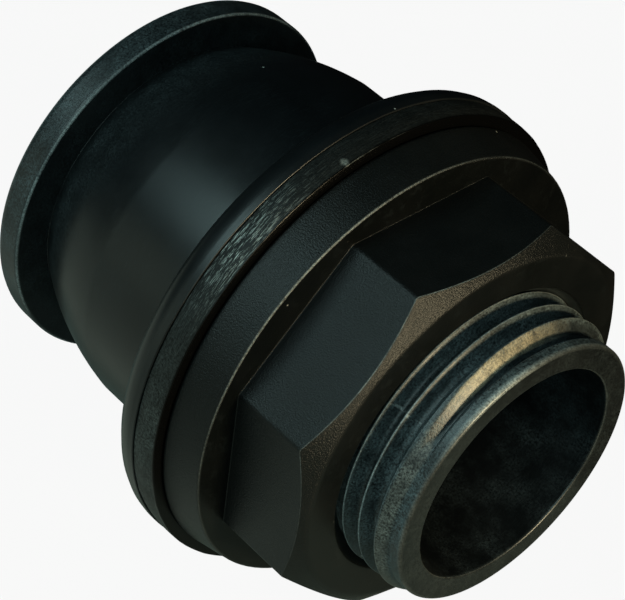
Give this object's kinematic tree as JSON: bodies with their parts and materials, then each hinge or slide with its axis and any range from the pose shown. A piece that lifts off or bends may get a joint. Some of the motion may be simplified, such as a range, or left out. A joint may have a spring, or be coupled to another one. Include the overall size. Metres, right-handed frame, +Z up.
{
  "type": "tank connector",
  "caption": "Plastic tank connector: flanged body with a threaded spigot and a far socket, rubber sealing washer and eight-sided back nut that clamps the tank wall.",
  "frame": {"origin": "centre of the flange's sealing face", "axes": "+X along the bore towards the threaded end, +Z up as in the side wall of a tank"},
  "size_m": [0.0579, 0.0564, 0.0564],
  "materials": {
    "body_plastic": "satin moulded",
    "washer_rubber": "cut sheet",
    "nut_plastic": "fine matt moulded"
  },
  "bodies": {
    "connector": {"body": "body_plastic"},
    "washer": {"sealing_washer": "washer_rubber"},
    "nut": {"back_nut": "nut_plastic"}
  },
  "joints": [
    {"name": "washer_slide", "type": "slide", "parent": "connector", "child": "washer", "axis": [1, 0, 0], "range_m": [0, 0.0208]},
    {"name": "nut_unscrew", "type": "hinge", "parent": "washer", "child": "nut", "pos_m": [0.01075, 0, 0], "axis": [1, 0, 0], "range_deg": [0, 3240]}
  ],
  "couplings": [
    {"joint": "washer_slide", "follows": "nut_unscrew", "m_per_rad": 0.00036749}
  ]
}
